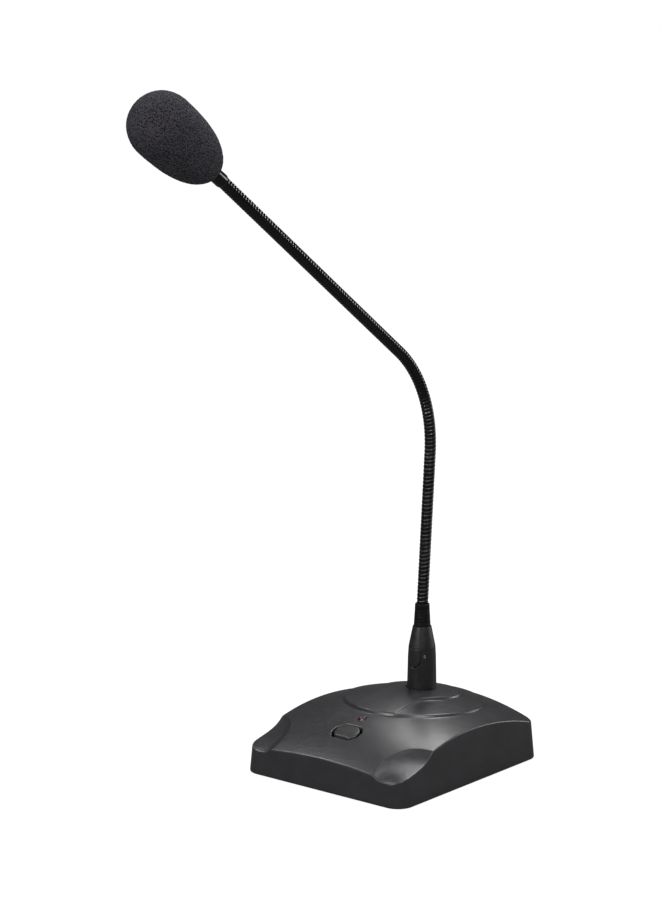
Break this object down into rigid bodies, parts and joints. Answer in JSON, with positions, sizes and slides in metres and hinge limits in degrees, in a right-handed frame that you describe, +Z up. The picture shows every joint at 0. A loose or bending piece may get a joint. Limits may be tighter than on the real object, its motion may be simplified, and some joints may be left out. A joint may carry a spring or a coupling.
{
  "type": "gooseneck desk microphone",
  "caption": "Gooseneck microphone on a moulded desk base, with a push button, a plug-in bendable neck and a foam windscreen.",
  "frame": {"origin": "centre of the base's footprint, on the underside of its non-slip pad", "axes": "+Z up, -Y towards the person speaking, +X to the right seen from that side"},
  "size_m": [0.1264, 0.2987, 0.4297],
  "materials": {
    "base_plastic": "satin, finely textured",
    "black_plastic": "matt",
    "button_plastic": "satin",
    "zinc_black": "satin black",
    "steel": "plain",
    "screw_steel": "dark zinc",
    "rubber": "matt",
    "board": "solder mask",
    "chip": "matt",
    "contact": "plated",
    "lens": "tinted, clear",
    "wire": "smooth",
    "neck_steel": "glossy black",
    "head_metal": "glossy black",
    "capsule_metal": "plain",
    "foam": "open-cell foam"
  },
  "bodies": {
    "base": {"top_shell": "base_plastic", "bottom_plate": "black_plastic", "ballast_plate": "steel", "ballast_screws": "screw_steel", "rubber_pad": "rubber", "bottom_screws": "screw_steel", "circuit_board": "board", "board_screws": "screw_steel", "board_parts": "chip", "switch_body": "black_plastic", "button_spring": "steel", "light_spacer": "black_plastic", "indicator_light": "lens", "socket_shell": "zinc_black", "socket_insert": "black_plastic", "socket_pins": "contact", "socket_screws": "screw_steel", "socket_wires": "wire", "output_shell": "zinc_black", "output_insert": "black_plastic", "output_pins": "contact", "output_screws": "screw_steel", "output_wires": "wire"},
    "button": {"button_cap": "button_plastic", "switch_plunger": "black_plastic"},
    "plug": {"plug_shell": "zinc_black", "plug_insert": "black_plastic", "plug_contacts": "contact", "latch_spring": "steel", "plug_set_screw": "screw_steel", "strain_boot": "rubber", "cable_clamp": "black_plastic", "plug_leads": "wire", "neck_root": "neck_steel", "neck_cable_root": "wire"},
    "latch": {"latch_button": "zinc_black"},
    "neck_1": {"neck_link_1": "neck_steel", "neck_cable_1": "wire"},
    "neck_2": {"neck_link_2": "neck_steel", "neck_cable_2": "wire"},
    "neck_3": {"neck_link_3": "neck_steel", "neck_cable_3": "wire"},
    "neck_4": {"neck_link_4": "neck_steel", "neck_cable_4": "wire"},
    "neck_5": {"neck_link_5": "neck_steel", "neck_cable_5": "wire"},
    "neck_6": {"neck_link_6": "neck_steel", "neck_cable_6": "wire"},
    "neck_7": {"neck_link_7": "neck_steel", "neck_cable_7": "wire"},
    "neck_8": {"neck_link_8": "neck_steel", "neck_cable_8": "wire"},
    "head": {"head_sleeve": "head_metal", "capsule_housing": "head_metal", "capsule_grille": "head_metal", "capsule": "capsule_metal", "capsule_ring": "rubber", "capsule_leads": "wire"},
    "windscreen": {"foam_windscreen": "foam"}
  },
  "joints": [
    {"name": "button_press", "type": "slide", "parent": "base", "child": "button", "axis": [0, 0, -1], "range_m": [0, 0.0015], "stiffness_N_per_m": 600, "springref_m": -0.0005, "deforming": ["button_spring"]},
    {"name": "plug_pull", "type": "slide", "parent": "base", "child": "plug", "axis": [0, 0, 1], "range_m": [0, 0.02]},
    {"name": "latch_push", "type": "slide", "parent": "plug", "child": "latch", "axis": [0, 1, 0], "range_m": [0, 0.0012], "stiffness_N_per_m": 800, "springref_m": -0.0005},
    {"name": "neck_bend_1", "type": "hinge", "parent": "plug", "child": "neck_1", "pos_m": [0, 0.0293, 0.1], "axis": [1, 0, 0], "range_deg": [-15, 15]},
    {"name": "neck_swing_1", "type": "hinge", "parent": "neck_1", "child": "neck_2", "pos_m": [0, 0.03263, 0.14645], "axis": [0, 0.9974, -0.0715], "range_deg": [-15, 15]},
    {"name": "neck_bend_2", "type": "hinge", "parent": "neck_2", "child": "neck_3", "pos_m": [0, 0.03596, 0.1929], "axis": [1, 0, 0], "range_deg": [-15, 15]},
    {"name": "neck_swing_2", "type": "hinge", "parent": "neck_3", "child": "neck_4", "pos_m": [0, 0.02736, 0.23796], "axis": [0, 0.8809, 0.4733], "range_deg": [-15, 15]},
    {"name": "neck_bend_3", "type": "hinge", "parent": "neck_4", "child": "neck_5", "pos_m": [0, -0.00506, 0.27062], "axis": [1, 0, 0], "range_deg": [-20, 20]},
    {"name": "neck_swing_3", "type": "hinge", "parent": "neck_5", "child": "neck_6", "pos_m": [0, -0.04316, 0.29739], "axis": [0, 0.575, 0.8181], "range_deg": [-15, 15]},
    {"name": "neck_bend_4", "type": "hinge", "parent": "neck_6", "child": "neck_7", "pos_m": [0, -0.08127, 0.32417], "axis": [1, 0, 0], "range_deg": [-20, 20]},
    {"name": "neck_swing_4", "type": "hinge", "parent": "neck_7", "child": "neck_8", "pos_m": [0, -0.11937, 0.35095], "axis": [0, 0.575, 0.8181], "range_deg": [-15, 15]},
    {"name": "neck_bend_5", "type": "hinge", "parent": "neck_8", "child": "head", "pos_m": [0, -0.15747, 0.37773], "axis": [1, 0, 0], "range_deg": [-20, 20]},
    {"name": "windscreen_pull", "type": "slide", "parent": "head", "child": "windscreen", "axis": [0, -0.831, 0.5563], "range_m": [0, 0.06]}
  ],
  "couplings": [
    {"joint": "neck_bend_2", "follows": "neck_bend_1", "ratio": 1},
    {"joint": "neck_bend_4", "follows": "neck_bend_3", "ratio": 1},
    {"joint": "neck_bend_5", "follows": "neck_bend_3", "ratio": 1},
    {"joint": "neck_swing_2", "follows": "neck_swing_1", "ratio": 1},
    {"joint": "neck_swing_4", "follows": "neck_swing_3", "ratio": 1}
  ]
}
